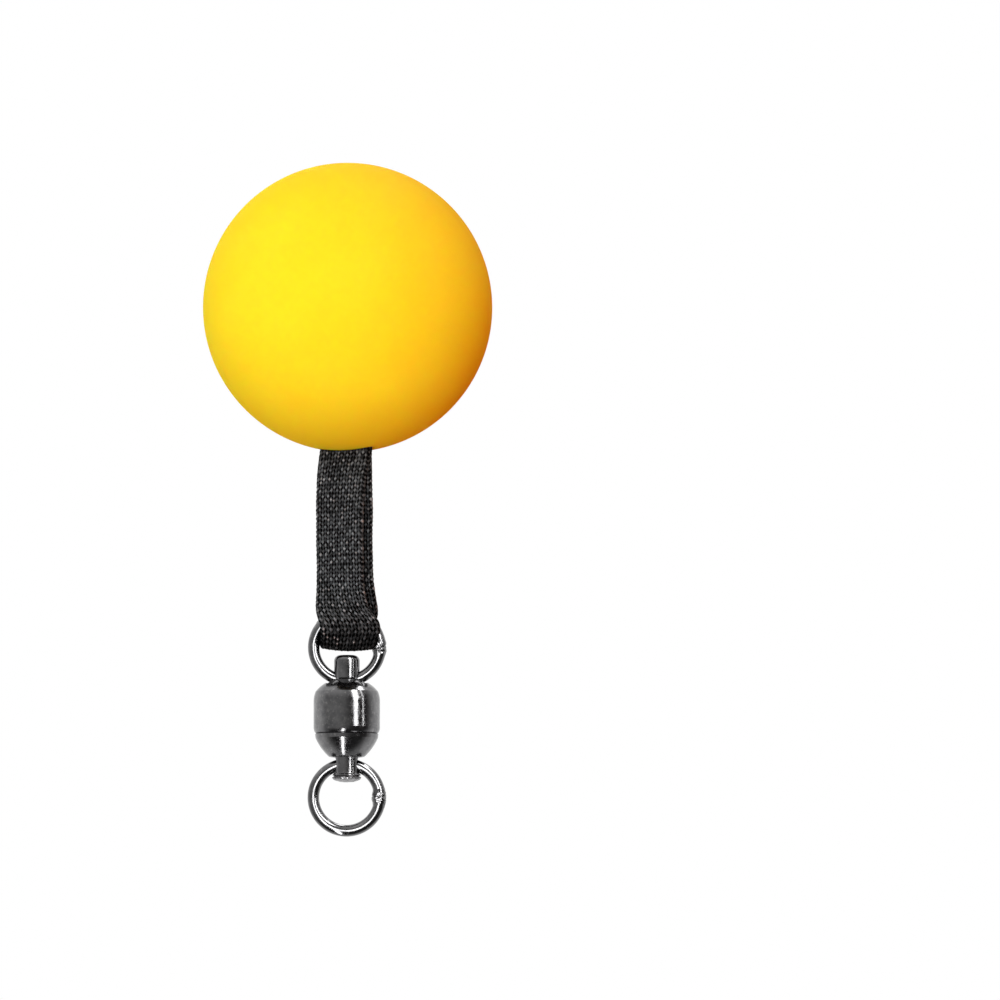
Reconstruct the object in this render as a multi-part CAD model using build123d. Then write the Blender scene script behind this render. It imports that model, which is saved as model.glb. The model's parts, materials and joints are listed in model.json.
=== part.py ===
from build123d import *
import math
import os

# Swinging ball on a webbing loop, with a ball-bearing swivel and a welded ring below it.
# Millimetres, +Z up. The origin is the centre of the ball, and everything hangs from it along -Z.
# Each sub-part is one STEP in parts/, named after the piece.

# ---- Ball -----------------------------------------------------------------------------------
BALL_R = 30.0
SKIN_THICKNESS = 2.5
SKIN_CORE_GAP = 0.1
CORE_THICKNESS = 2.4
CORE_LIP_HEIGHT = 1.6
CORE_LIP_GAP = 0.05

# ---- Webbing loop ---------------------------------------------------------------------------
WEB_WIDTH = 12.7
WEB_THICKNESS = 1.2
PINCHED_WIDTH = 11.2  # the slot gathers the webbing a little
SLOT_TURN = -22.0  # degrees about Z
WEB_TWIST = -39.0  # turn about Z halfway down, between the slot and the ring
TWIST_Z = -40.0  # fully turned and at full width from here
PLY_OFFSET_NECK = 0.75  # middle of a ply from the middle of the loop, where the plies are sewn
PLY_OFFSET_MIDDLE = 1.3
PLY_OFFSET_RING = 2.0
BIGHT_SIDE_GAP = 0.2
UNTWIST_TOP_Z = -44.0  # the loop turns back between these two heights
UNTWIST_BOTTOM_Z = -62.4
FLEX_DROP = 2.0  # the webbing bends this far below the ball
FLEX_GAP = 0.6
SLOT_CLEARANCE = 0.4

# ---- Anchor inside the ball -----------------------------------------------------------------
PIN_R = 1.5
PIN_LENGTH = 20.0
PIN_DEPTH = 11.5  # pin's axis above the bottom of the ball
BLOCK_LENGTH = 24.0
BLOCK_WIDTH = 12.0
RETAINER_THICKNESS = 2.6
SCREW_R = 1.0
SCREW_HEAD_R = 1.9
SCREW_HEAD_HEIGHT = 1.3
SCREW_LENGTH = 8.0
SCREW_ALONG = 9.4
SCREW_ACROSS = 3.6
FIT = 0.05

# ---- Rings ----------------------------------------------------------------------------------
WIRE_R = 1.2
RING_R = 6.85  # centre of the ring to the middle of its wire
BEAD_R = 1.4
BEAD_LENGTH = 3.6
BEAD_INSET = 0.1
BEAD_HALF_DEPTH = 1.28
WIRE_CLEARANCE = 0.1

# ---- Swivel, measured down from the upper cross hole --------------------------------------
UPPER_HOLE_Z = -77.45
HOLE_SPACING = 17.3
POST_R = 2.65
POST_RISE = 5.2
POCKET_DROP = 1.35  # floor of the two pockets that clear the wire, beside the post
POCKET_MOUTH_DROP = 0.42  # and at their outer ends
BARREL_R = 6.85
BORE_R = 5.6
CEILING_DROP = 4.2
RACE_OUTER_R = 5.55
RACE_INNER_R = 3.15
UPPER_RACE_THICKNESS = 0.7
LOWER_RACE_THICKNESS = 0.8
BEARING_BALL_R = 1.0
BEARING_PITCH_R = 4.35
BEARING_BALLS = 12
GROOVE_DEPTH = 0.4
GROOVE_CLEARANCE = 0.05
HEAD_R = 5.3
HEAD_THICKNESS = 1.5
SEAM_DROP = 10.9
CONE_BORE_R = 3.2
CONE_END_DROP = 15.8
CONE_END_R = 3.7
SPINDLE_FLARE_R = 3.05
SPINDLE_FLARE_DROP = 19.9
SPINDLE_END_DROP = 21.0

# ---- Worked out from those ------------------------------------------------------------------
FLEX_Z = -BALL_R - FLEX_DROP
UPPER_RING_Z = UPPER_HOLE_Z + RING_R
LOWER_HOLE_Z = UPPER_HOLE_Z - HOLE_SPACING
LOWER_RING_Z = LOWER_HOLE_Z - RING_R
BIGHT_INNER_R = PLY_OFFSET_RING - WEB_THICKNESS / 2
BIGHT_OUTER_R = PLY_OFFSET_RING + WEB_THICKNESS / 2
BIGHT_Z = UPPER_RING_Z + 2.0
BIGHT_WIDTH = 2 * (RING_R - BEAD_INSET - BEAD_R - BIGHT_SIDE_GAP)
NECK_HALF = PLY_OFFSET_NECK + WEB_THICKNESS / 2
PIN_Z = -BALL_R + PIN_DEPTH
BLOCK_TOP_Z = PIN_Z + PIN_R + 2 * FIT
CORE_R = BALL_R - SKIN_THICKNESS - SKIN_CORE_GAP
RACE_GAP = 2 * (BEARING_BALL_R - GROOVE_DEPTH)
UPPER_RACE_BOTTOM = CEILING_DROP + UPPER_RACE_THICKNESS
HEAD_TOP = UPPER_RACE_BOTTOM + RACE_GAP
HEAD_BOTTOM = HEAD_TOP + HEAD_THICKNESS
LOWER_RACE_TOP = HEAD_BOTTOM + RACE_GAP
SPIGOT_TOP = LOWER_RACE_TOP + LOWER_RACE_THICKNESS
UPPER_BALLS_DROP = UPPER_RACE_BOTTOM + RACE_GAP / 2
LOWER_BALLS_DROP = HEAD_BOTTOM + RACE_GAP / 2

SLOT_FRAME = Rot(0, 0, SLOT_TURN)  # X along the slot, Y across it


def below_hole(drop):
    """Height of a level of the swivel, from its drop below the upper cross hole."""
    return UPPER_HOLE_Z - drop


def turned(points, arcs=()):
    """Solid turned about Z from (radius, z) corners; arcs maps a corner's index to a mid point."""
    arcs = dict(arcs)
    corners = [(r, 0, z) for r, z in points]
    edges = []
    for i, start in enumerate(corners):
        end = corners[(i + 1) % len(corners)]
        if i in arcs:
            r, z = arcs[i]
            edges.append(ThreePointArc(start, (r, 0, z), end))
        else:
            edges.append(Line(start, end))
    return revolve(make_face(edges), Axis.Z)


def dome_mid(rim_r, rim_z, tip_z):
    """Point halfway along the arc from a dome's rim to its tip, with the arc's centre on Z."""
    rise = rim_z - tip_z
    dome_r = (rim_r**2 + rise**2) / (2 * rise)
    half_angle = math.asin(rim_r / dome_r) / 2
    return dome_r * math.sin(half_angle), tip_z + dome_r * (1 - math.cos(half_angle))


def groove(drop):
    """Ring-shaped cutter that leaves running clearance round a row of bearing balls."""
    return Pos(0, 0, below_hole(drop)) * Torus(BEARING_PITCH_R, BEARING_BALL_R + GROOVE_CLEARANCE)


def washer(outer_r, inner_r, top, bottom):
    return turned(
        [
            (inner_r, below_hole(top)),
            (outer_r, below_hole(top)),
            (outer_r, below_hole(bottom)),
            (inner_r, below_hole(bottom)),
        ]
    )


# ---- Ball -----------------------------------------------------------------------------------
def slot_cutter(clearance, top, bottom):
    length = PINCHED_WIDTH + 2 * clearance
    width = 2 * (NECK_HALF + clearance)
    box = Box(length, width, top - bottom)
    return SLOT_FRAME * Pos(0, 0, (top + bottom) / 2) * box


def ball_skin():
    skin = Sphere(BALL_R) - Sphere(BALL_R - SKIN_THICKNESS)
    return skin - slot_cutter(SLOT_CLEARANCE, -BALL_R + 5, -BALL_R - 1)


def core_shells():
    """The two halves of the rigid core; the upper one has the lip that enters the lower one."""
    inner_r = CORE_R - CORE_THICKNESS
    lip_r = CORE_R - CORE_THICKNESS / 2
    shell = Sphere(CORE_R) - Sphere(inner_r)
    half = Box(4 * BALL_R, 4 * BALL_R, 2 * BALL_R)
    upper = shell & Pos(0, 0, BALL_R) * half
    lower = shell & Pos(0, 0, -BALL_R) * half
    lip_z = -CORE_LIP_HEIGHT / 2
    lip = Cylinder(lip_r - CORE_LIP_GAP, CORE_LIP_HEIGHT) - Cylinder(inner_r - 0.3, CORE_LIP_HEIGHT)
    rebate = Cylinder(lip_r, CORE_LIP_HEIGHT + CORE_LIP_GAP)
    upper += Pos(0, 0, lip_z) * lip
    lower -= Pos(0, 0, lip_z - CORE_LIP_GAP / 2) * rebate
    return upper, lower


def anchor_block():
    """Block in the bottom of the core, with a saddle for the pin and a throat for the webbing."""
    bottom = -CORE_R + 1.0
    block = SLOT_FRAME * Pos(0, 0, (BLOCK_TOP_Z + bottom) / 2) * Box(
        BLOCK_LENGTH, BLOCK_WIDTH, BLOCK_TOP_Z - bottom
    )
    block &= Sphere(CORE_R - CORE_THICKNESS / 2)
    throat_bottom = -BALL_R + 5.2
    throat = SLOT_FRAME * Pos(0, 0, (throat_bottom + BLOCK_TOP_Z) / 2) * Box(
        PINCHED_WIDTH + 2 * SLOT_CLEARANCE, 2 * (PIN_R + WEB_THICKNESS + 0.6), BLOCK_TOP_Z - throat_bottom
    )
    saddle_r = PIN_R + FIT
    saddle_length = PIN_LENGTH + 2 * FIT
    saddle = Pos(0, 0, PIN_Z) * Rot(0, 90, 0) * Cylinder(saddle_r, saddle_length)
    saddle += Pos(0, 0, (PIN_Z + BLOCK_TOP_Z) / 2) * Box(
        saddle_length, 2 * saddle_r, BLOCK_TOP_Z - PIN_Z
    )
    holes = [
        SLOT_FRAME
        * Pos(side * SCREW_ALONG, side * SCREW_ACROSS, BLOCK_TOP_Z - SCREW_LENGTH / 2)
        * Cylinder(SCREW_R + 0.02, SCREW_LENGTH)
        for side in (-1, 1)
    ]
    return block, [throat, SLOT_FRAME * saddle, *holes]


def core_lower_shell(lower):
    block, cuts = anchor_block()
    lower += block
    for cut in cuts:
        lower -= cut
    return lower - slot_cutter(SLOT_CLEARANCE, PIN_Z, -BALL_R - 1)


def anchor_pin():
    pin = Rot(0, 90, 0) * Cylinder(PIN_R, PIN_LENGTH)
    pin = chamfer(pin.edges().filter_by(GeomType.CIRCLE), 0.3)
    return SLOT_FRAME * Pos(0, 0, PIN_Z) * pin


def pin_retainer():
    """Bridge screwed over the saddles; its underside is hollowed where the webbing passes the pin."""
    z = BLOCK_TOP_Z + RETAINER_THICKNESS / 2
    plate = Box(BLOCK_LENGTH - 1, BLOCK_WIDTH - 1, RETAINER_THICKNESS)
    plate = fillet(plate.edges().filter_by(Axis.Z), 1.5)
    relief_r = PIN_R + WEB_THICKNESS + 0.5
    relief = Pos(0, 0, PIN_Z - z) * Rot(0, 90, 0) * Cylinder(relief_r, PINCHED_WIDTH + 2 * SLOT_CLEARANCE)
    plate -= relief
    for side in (-1, 1):
        plate -= Pos(side * SCREW_ALONG, side * SCREW_ACROSS) * Cylinder(
            SCREW_R + 0.15, RETAINER_THICKNESS + 1
        )
    return SLOT_FRAME * Pos(0, 0, z) * plate


def retainer_screw(side):
    seat = BLOCK_TOP_Z + RETAINER_THICKNESS
    shank_length = SCREW_LENGTH + RETAINER_THICKNESS - 1.0
    screw = Pos(0, 0, -shank_length / 2) * Cylinder(SCREW_R, shank_length)
    head = Pos(0, 0, SCREW_HEAD_HEIGHT / 2) * Cylinder(SCREW_HEAD_R, SCREW_HEAD_HEIGHT)
    head = fillet(head.edges().sort_by(Axis.Z)[-1], 0.5)
    for angle in (0, 90):
        head -= Rot(0, 0, angle) * Pos(0, 0, SCREW_HEAD_HEIGHT) * Box(2.2, 0.45, 1.2)
    return SLOT_FRAME * Pos(side * SCREW_ALONG, side * SCREW_ACROSS, seat) * (screw + head)


# ---- Webbing --------------------------------------------------------------------------------
def smooth(x):
    x = min(max(x, 0.0), 1.0)
    return x * x * (3 - 2 * x)


def ply_offset(z):
    """Middle of a ply from the middle of the loop at a height."""
    opening = smooth((FLEX_Z - z) / 12) * (PLY_OFFSET_MIDDLE - PLY_OFFSET_NECK)
    spread = smooth((UNTWIST_TOP_Z - z) / (UNTWIST_TOP_Z - UNTWIST_BOTTOM_Z))
    return PLY_OFFSET_NECK + opening + spread * (PLY_OFFSET_RING - PLY_OFFSET_MIDDLE)


def twist(z):
    turned_so_far = SLOT_TURN + (WEB_TWIST - SLOT_TURN) * smooth((FLEX_Z - z) / (FLEX_Z - TWIST_Z))
    return turned_so_far * (1 - smooth((UNTWIST_TOP_Z - z) / (UNTWIST_TOP_Z - UNTWIST_BOTTOM_Z)))


def ply_width(z):
    return PINCHED_WIDTH + (WEB_WIDTH - PINCHED_WIDTH) * smooth((FLEX_Z - z) / (FLEX_Z - TWIST_Z))


def webbing_ply(side):
    """One twisted ply from the neck to the bight; side is -1 for the front and 1 for the back."""
    spans = 14
    sections = []
    for i in range(spans + 1):
        z = FLEX_Z + i / spans * (BIGHT_Z - FLEX_Z)
        place = Pos(0, 0, z) * Rot(0, 0, twist(z)) * Pos(0, side * ply_offset(z))
        sections.append(place * Rectangle(ply_width(z), WEB_THICKNESS))
    return loft(sections, ruled=True)


def webbing_loop():
    """The visible part of the loop: two plies, the bight through the ring, and the bend at the neck."""
    across = Rot(0, 90, 0)
    bight = across * (Cylinder(BIGHT_OUTER_R, BIGHT_WIDTH) - Cylinder(BIGHT_INNER_R, BIGHT_WIDTH))
    bight &= Pos(0, 0, -BIGHT_OUTER_R) * Box(BIGHT_WIDTH, 4 * BIGHT_OUTER_R, 2 * BIGHT_OUTER_R)
    neck = SLOT_FRAME * Pos(0, 0, FLEX_Z) * across * Cylinder(NECK_HALF, PINCHED_WIDTH)
    return neck + webbing_ply(-1) + webbing_ply(1) + Pos(0, 0, BIGHT_Z) * bight


def hairpin(half_gap, pin_clear_r):
    """Outline, in the slot's YZ plane, of a leg pair that opens out round the pin."""
    straight_top = -BALL_R + 5
    outline = Polyline(
        (half_gap, FLEX_Z),
        (half_gap, straight_top),
        (pin_clear_r, PIN_Z),
        (-pin_clear_r, PIN_Z),
        (-half_gap, straight_top),
        (-half_gap, FLEX_Z),
        close=True,
    )
    return make_face(outline) + Pos(0, PIN_Z) * Circle(pin_clear_r)


def webbing_anchor():
    """The sewn end of the loop inside the ball, which goes round the anchor pin."""
    outer = hairpin(NECK_HALF, PIN_R + FIT + WEB_THICKNESS)
    inner = hairpin(NECK_HALF - WEB_THICKNESS, PIN_R + FIT)
    profile = Plane.YZ * (outer - inner)
    legs = extrude(profile, PINCHED_WIDTH / 2, both=True)
    bend = Pos(0, 0, FLEX_Z) * Rot(0, 90, 0) * Cylinder(NECK_HALF + FLEX_GAP, 2 * WEB_WIDTH)
    below_bend = Pos(0, 0, FLEX_Z - 5) * Box(2 * WEB_WIDTH, 10, 10)
    return SLOT_FRAME * (legs - bend - below_bend)


def webbing_stitching():
    """Bar tacks that hold the two plies together in the neck, three rows on each face."""
    thread = 0.2
    rows = []
    for side in (-1, 1):
        for row in range(3):
            z = -BALL_R + 1.4 + row * 1.1
            y = side * (NECK_HALF + thread / 2 + 0.01)
            rows.append(SLOT_FRAME * Pos(0, y, z) * Box(PINCHED_WIDTH - 2, thread, 0.4))
    return Compound(children=rows)


# ---- Rings ----------------------------------------------------------------------------------
def welded_ring(z):
    """Wire ring in the XZ plane, with its weld bead on the +X side."""
    ring = Rot(90, 0, 0) * Torus(RING_R, WIRE_R)
    half = BEAD_LENGTH / 2
    edge = WIRE_R * 0.8
    bead = turned([(0, -half), (edge, -half), (edge, half), (0, half)], {1: (BEAD_R, 0)})
    bead &= Box(4 * BEAD_R, 2 * BEAD_HALF_DEPTH, 2 * BEAD_LENGTH)
    return Pos(0, 0, z) * (ring + Pos(RING_R - BEAD_INSET, 0, 0) * bead)


def wire_hole(z, with_floor=False):
    """Cutter along X for a cross hole that opens out at both mouths, as the curved wire needs.

    The floor follows the underside of the wire, whose ends curve up, out to its widest tilt.
    """
    reach = POST_R + 2.0
    curve_r = RING_R - WIRE_R - WIRE_CLEARANCE
    mouth_r = RING_R - math.sqrt(curve_r**2 - reach**2)
    edges = [
        Line((-reach, 0), (reach, 0)),
        Line((reach, 0), (reach, mouth_r)),
        ThreePointArc((reach, mouth_r), (0, RING_R - curve_r), (-reach, mouth_r)),
        Line((-reach, mouth_r), (-reach, 0)),
    ]
    cutter = revolve(make_face(edges), Axis.X)
    if with_floor:
        flat = POST_R - 0.25
        above = [
            (reach, 0, 2 * reach),
            (-reach, 0, 2 * reach),
            (-reach, 0, -POCKET_MOUTH_DROP),
            (-flat, 0, -POCKET_DROP),
            (flat, 0, -POCKET_DROP),
            (reach, 0, -POCKET_MOUTH_DROP),
        ]
        cutter &= extrude(make_face(Polyline(*above, close=True)), 2 * reach, both=True)
    return Pos(0, 0, z) * cutter


# ---- Swivel ---------------------------------------------------------------------------------
def swivel_barrel():
    """Upper housing, with the cross-drilled post on top and the bearing bore below."""
    top = below_hole(-POST_RISE)
    round_top = 1.2
    points = [
        (0, top),
        (POST_R - round_top, top),
        (POST_R, top - round_top),
        (POST_R, below_hole(-0.5)),
        (POST_R + 0.35, below_hole(-0.15)),
        (BARREL_R - 0.4, below_hole(2.3)),
        (BARREL_R, below_hole(4.6)),
        (BARREL_R, below_hole(SEAM_DROP - 1.2)),
        (BARREL_R - 0.3, below_hole(SEAM_DROP - 0.1)),
        (BARREL_R - 0.5, below_hole(SEAM_DROP)),
        (BORE_R, below_hole(SEAM_DROP)),
        (BORE_R, below_hole(CEILING_DROP)),
        (0, below_hole(CEILING_DROP)),
    ]
    arcs = {
        1: (POST_R - round_top * 0.293, top - round_top * 0.293),
        4: (4.9, below_hole(0.83)),
        5: (BARREL_R - 0.09, below_hole(3.35)),
        7: (BARREL_R - 0.09, below_hole(SEAM_DROP - 0.6)),
    }
    return turned(points, arcs) - wire_hole(UPPER_HOLE_Z, with_floor=True)


def swivel_cone():
    """Lower housing: a spigot pressed into the bore, and the cone that the spindle leaves."""
    return turned(
        [
            (CONE_BORE_R, below_hole(SPIGOT_TOP)),
            (BORE_R - 0.02, below_hole(SPIGOT_TOP)),
            (BORE_R - 0.02, below_hole(SEAM_DROP + 0.02)),
            (BARREL_R - 0.5, below_hole(SEAM_DROP + 0.02)),
            (BARREL_R - 0.3, below_hole(SEAM_DROP + 0.2)),
            (BARREL_R - 0.4, below_hole(SEAM_DROP + 1.0)),
            (CONE_END_R + 0.15, below_hole(CONE_END_DROP - 0.2)),
            (CONE_END_R - 0.1, below_hole(CONE_END_DROP)),
            (CONE_BORE_R, below_hole(CONE_END_DROP)),
        ],
        {5: (5.35, below_hole(SEAM_DROP + 2.95))},
    )


def upper_race():
    ring = washer(RACE_OUTER_R, RACE_INNER_R, CEILING_DROP + 0.01, UPPER_RACE_BOTTOM)
    return ring - groove(UPPER_BALLS_DROP)


def lower_race():
    ring = washer(RACE_OUTER_R, RACE_INNER_R, LOWER_RACE_TOP, SPIGOT_TOP - 0.01)
    return ring - groove(LOWER_BALLS_DROP)


def bearing_ball(drop, index):
    angle = index * 360 / BEARING_BALLS
    return Rot(0, 0, angle) * Pos(BEARING_PITCH_R, 0, below_hole(drop)) * Sphere(BEARING_BALL_R)


def spindle():
    """Collar between the two rows of balls, and the cross-drilled post that leaves the cone."""
    points = [
        (0, below_hole(CEILING_DROP + 0.4)),
        (1.5, below_hole(CEILING_DROP + 0.4)),
        (1.8, below_hole(CEILING_DROP + 0.7)),
        (1.8, below_hole(HEAD_TOP)),
        (HEAD_R, below_hole(HEAD_TOP)),
        (HEAD_R, below_hole(HEAD_BOTTOM)),
        (POST_R, below_hole(HEAD_BOTTOM)),
        (POST_R, below_hole(SPINDLE_FLARE_DROP - 0.5)),
        (SPINDLE_FLARE_R, below_hole(SPINDLE_FLARE_DROP)),
        (SPINDLE_FLARE_R - 0.1, below_hole(SPINDLE_FLARE_DROP + 0.45)),
        (0, below_hole(SPINDLE_END_DROP)),
    ]
    rim_r, rim_z = points[9]
    body = turned(points, {9: dome_mid(rim_r, rim_z, below_hole(SPINDLE_END_DROP))})
    body -= groove(UPPER_BALLS_DROP)
    body -= groove(LOWER_BALLS_DROP)
    return body - wire_hole(LOWER_HOLE_Z)


# ---- Everything -----------------------------------------------------------------------------
def build():
    upper_core, lower_core = core_shells()
    parts = {
        "ball_skin": ball_skin(),
        "core_upper_shell": upper_core,
        "core_lower_shell": core_lower_shell(lower_core),
        "anchor_pin": anchor_pin(),
        "pin_retainer": pin_retainer(),
        "retainer_screw_left": retainer_screw(-1),
        "retainer_screw_right": retainer_screw(1),
        "webbing_anchor": webbing_anchor(),
        "webbing_stitching": webbing_stitching(),
        "webbing_loop": webbing_loop(),
        "upper_ring": welded_ring(UPPER_RING_Z),
        "swivel_barrel": swivel_barrel(),
        "swivel_cone": swivel_cone(),
        "upper_race": upper_race(),
        "lower_race": lower_race(),
        "spindle": spindle(),
        "lower_ring": welded_ring(LOWER_RING_Z),
    }
    for i in range(BEARING_BALLS):
        parts[f"upper_bearing_ball_{i + 1:02d}"] = bearing_ball(UPPER_BALLS_DROP, i)
        parts[f"lower_bearing_ball_{i + 1:02d}"] = bearing_ball(LOWER_BALLS_DROP, i)
    return parts


os.makedirs("parts", exist_ok=True)
for name, shape in build().items():
    export_step(shape, f"parts/{name}.step")
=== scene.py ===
"""Looks for the swinging ball: silicone skin, woven webbing loop, plated rings and swivel.

Metres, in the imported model's frame: the ball's centre is the origin and the swivel hangs along -Z.
"""

import json
import math

import bmesh
import bpy
import numpy as np
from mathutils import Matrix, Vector, noise


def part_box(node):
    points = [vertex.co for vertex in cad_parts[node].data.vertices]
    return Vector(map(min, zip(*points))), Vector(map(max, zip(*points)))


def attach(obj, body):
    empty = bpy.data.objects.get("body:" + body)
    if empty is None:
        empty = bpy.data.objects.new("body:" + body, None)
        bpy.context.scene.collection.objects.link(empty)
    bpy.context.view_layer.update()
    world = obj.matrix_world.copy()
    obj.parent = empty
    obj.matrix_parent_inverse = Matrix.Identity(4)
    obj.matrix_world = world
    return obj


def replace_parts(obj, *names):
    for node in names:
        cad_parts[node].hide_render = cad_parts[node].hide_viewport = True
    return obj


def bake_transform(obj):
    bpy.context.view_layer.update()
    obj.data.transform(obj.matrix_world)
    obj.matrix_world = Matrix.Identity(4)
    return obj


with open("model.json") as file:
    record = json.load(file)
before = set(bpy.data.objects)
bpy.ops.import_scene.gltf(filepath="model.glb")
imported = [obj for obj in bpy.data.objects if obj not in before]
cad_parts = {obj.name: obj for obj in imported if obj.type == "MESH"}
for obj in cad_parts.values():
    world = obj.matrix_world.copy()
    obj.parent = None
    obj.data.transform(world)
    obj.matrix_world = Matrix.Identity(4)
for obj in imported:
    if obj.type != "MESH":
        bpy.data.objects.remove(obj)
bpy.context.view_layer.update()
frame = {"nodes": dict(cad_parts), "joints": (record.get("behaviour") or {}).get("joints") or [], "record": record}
joints = {j["name"]: j for j in frame["joints"]}

MM = 0.001

# ---- Camera and floor -----------------------------------------------------------------------
CAMERA_DISTANCE = 1.25
CAMERA_ELEVATION = math.radians(-5.0)
SENSOR_WIDTH = 36.0  # in the camera's own millimetres
PICTURE_WIDTH = 0.2069
PICTURE_AIM = Vector((0.0316, 0.0, -0.04008))
FLOOR_Z = -0.25
FLOOR_RADIUS = 6.0
FLOOR_GLOW = 0.86

# ---- Light ----------------------------------------------------------------------------------
# The world's light on the object runs from FILL_LEVEL in the FILL_SIDE direction to a warm bounce opposite.
FILL_SIDE = Vector((-0.80, 0.40, 0.30)).normalized()
FILL_LEVEL = 0.92
BOUNCE_LEVEL = 0.58
BOUNCE_COLOUR = (1.0, 0.23, 0.01)
# How bright the world looks in reflections.
REFLECTED_BEHIND = 0.95
REFLECTED_LEFT = 0.42
REFLECTED_RIGHT = 0.05
REFLECTED_BELOW = 0.05
REFLECTED_ABOVE = 0.5  # added to the rest

BALL_TARGET = (0, 0, 0)
SWIVEL_TARGET = (0, 0, -0.09)
LOW_LEFT_TARGET = (-0.028, 0, -0.09)
# Name: width and height, radiance, azimuth, elevation, distance, target.
# Azimuth 0 is the camera's side and 90 the right.
SOFT_LIGHTS = {
    "key": ((0.9, 0.9), 5.9, -2, 11, 1.3, BALL_TARGET),
    "top": ((0.7, 0.7), 0.9, 45, 62, 1.2, BALL_TARGET),
    "low_fill": ((0.2, 0.2), 5.6, -26, -38, 0.4, BALL_TARGET),
    "back": ((0.9, 0.9), 3.6, 192, 24, 1.3, BALL_TARGET),
}
REFLECTED_LIGHTS = {
    "strip_right": ((0.24, 0.9), 14.0, 33, 27, 1.0, SWIVEL_TARGET),
    "strip_thin": ((0.035, 0.9), 9.0, 60, 24, 1.0, SWIVEL_TARGET),
    "strip_over": ((0.60, 0.12), 9.0, 125, 64, 0.6, SWIVEL_TARGET),
    "low_left": ((0.015, 0.17), 11.0, 0, -56, 0.14, LOW_LEFT_TARGET),
}
RING_PANEL = ((0.5, 0.5), 7.0, -4, -5, 1.1, SWIVEL_TARGET)

# ---- Ball -----------------------------------------------------------------------------------
SKIN_THICKNESS = 2.5 * MM
SLOT_HALF_LENGTH = 6.0 * MM
SLOT_HALF_WIDTH = 1.75 * MM
SLOT_SQUARENESS = 5
SLOT_LIP = 0.45 * MM
COLLAR_RADIUS = 10 * MM
INNER_ROW_GAP = 0.06 * MM
SKIN_COLUMNS = 256

# ---- Webbing --------------------------------------------------------------------------------
WEB_WIDTH = 12.7 * MM
WEB_THICKNESS = 1.05 * MM
PIN_TURN = 2.15 * MM
PINCHED_SHARE = 0.885  # of its flat width, where the slot gathers it
WEB_TURN = math.radians(-40.0)
BIGHT_RISE = 0.35 * MM
BIGHT_SAG = 0.7 * MM
SAG_TOP = 3.0 * MM  # above the wire in the bight
SAG_FADE = 4.0 * MM
SAG_MIDDLE = 0.8 * MM  # right of the webbing's own middle
# Painted shade on the webbing: it darkens over these heights towards the bight.
BIGHT_SHADE_TOP = 6.5 * MM  # above the wire in the bight
BIGHT_SHADE_FADE = 5.0 * MM
EDGE_CUP = 0.10 * MM
LOOSENESS = 0.08 * MM
LOOSE_WAVE = 6.0 * MM
LOOSE_FADE = 4.0 * MM  # below the slot, where the webbing is held straight
YARN_PITCH = 0.76 * MM
PICK_PITCH = 0.92 * MM
YARN_RELIEF = 0.34 * MM
GRID_ALONG = 0.12 * MM
GRID_ACROSS = 124
EDGE_STEPS = 7

# ---- Rings ----------------------------------------------------------------------------------
WIRE_RADIUS = 1.2 * MM
RING_RADIUS = 6.85 * MM
RING_ROWS = 420
WIRE_COLUMNS = 56
BEAD_HALF_LENGTH = 1.5 * MM
BEAD_HEIGHT = 0.10 * MM
BEAD_EXTRA_INSIDE = 0.36 * MM
BEAD_LUMPS = 0.15 * MM
WIRE_LUMPS = 0.003 * MM
SEAM_HALF_WIDTH = 0.13 * MM
SEAM_DEPTH = 0.16 * MM
SEAM_WANDER = 0.35 * MM

# ---- Spindle --------------------------------------------------------------------------------
POST_RADIUS = 2.65 * MM
HOLE_CLEARANCE = 0.1 * MM
HOLE_REACH = 4.5 * MM
GROOVE_CLEARANCE = 0.05 * MM
COLLAR_GAP = 0.6 * MM  # from the middle of a row of balls to the collar's face
TOP_RADIUS = 1.8 * MM
PEEN_HEIGHT = 1.1 * MM
PEEN_LIP = 0.32 * MM
PEEN_UNDERCUT = 0.34 * MM
PEEN_ROUGHNESS = 0.14 * MM
DENT_HEIGHT = 0.10 * MM
LATHE_COLUMNS = 192


# ---- Helpers --------------------------------------------------------------------------------
def mesh_object(name, verts, faces):
    """New object; a closed mesh gets smooth faces that point outward."""
    mesh = bpy.data.meshes.new(name)
    mesh.from_pydata([tuple(v) for v in verts], [], [tuple(f) for f in faces])
    mesh.validate()
    if len(faces) > 1:
        shape = bmesh.new()
        shape.from_mesh(mesh)
        bmesh.ops.recalc_face_normals(shape, faces=shape.faces)
        shape.to_mesh(mesh)
        shape.free()
        mesh.polygons.foreach_set("use_smooth", [True] * len(mesh.polygons))
    mesh.update()
    obj = bpy.data.objects.new(name, mesh)
    bpy.context.scene.collection.objects.link(obj)
    return obj


def grid_faces(rows, columns, joined_ends=False):
    """Quads between closed rows of vertices, numbered row by row; the last row may join the first."""
    faces = []
    for i in range(rows if joined_ends else rows - 1):
        for j in range(columns):
            a = i * columns + j
            b = i * columns + (j + 1) % columns
            c = (i + 1) % rows * columns + (j + 1) % columns
            d = (i + 1) % rows * columns + j
            faces.append((a, b, c, d))
    return faces


def pole_faces(rows, columns):
    """Triangles from the grid's first and last rows to the two poles, whose vertices follow the grid's."""
    first, last = rows * columns, rows * columns + 1
    faces = []
    for j in range(columns):
        k = (j + 1) % columns
        faces.append((first, k, j))
        faces.append((last, (rows - 1) * columns + j, (rows - 1) * columns + k))
    return faces


def smoothstep(x):
    x = np.clip(x, 0.0, 1.0)
    return x * x * (3 - 2 * x)


def fraction(x):
    return x - np.floor(x)


def value_noise(points, scale, seed):
    """Noise from -1 to 1 at each point, with features about scale metres apart."""
    shift = Vector((seed, 1.7 * seed, 2.3 * seed))
    return np.array([noise.noise(Vector(p) / scale + shift) for p in points])


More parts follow.
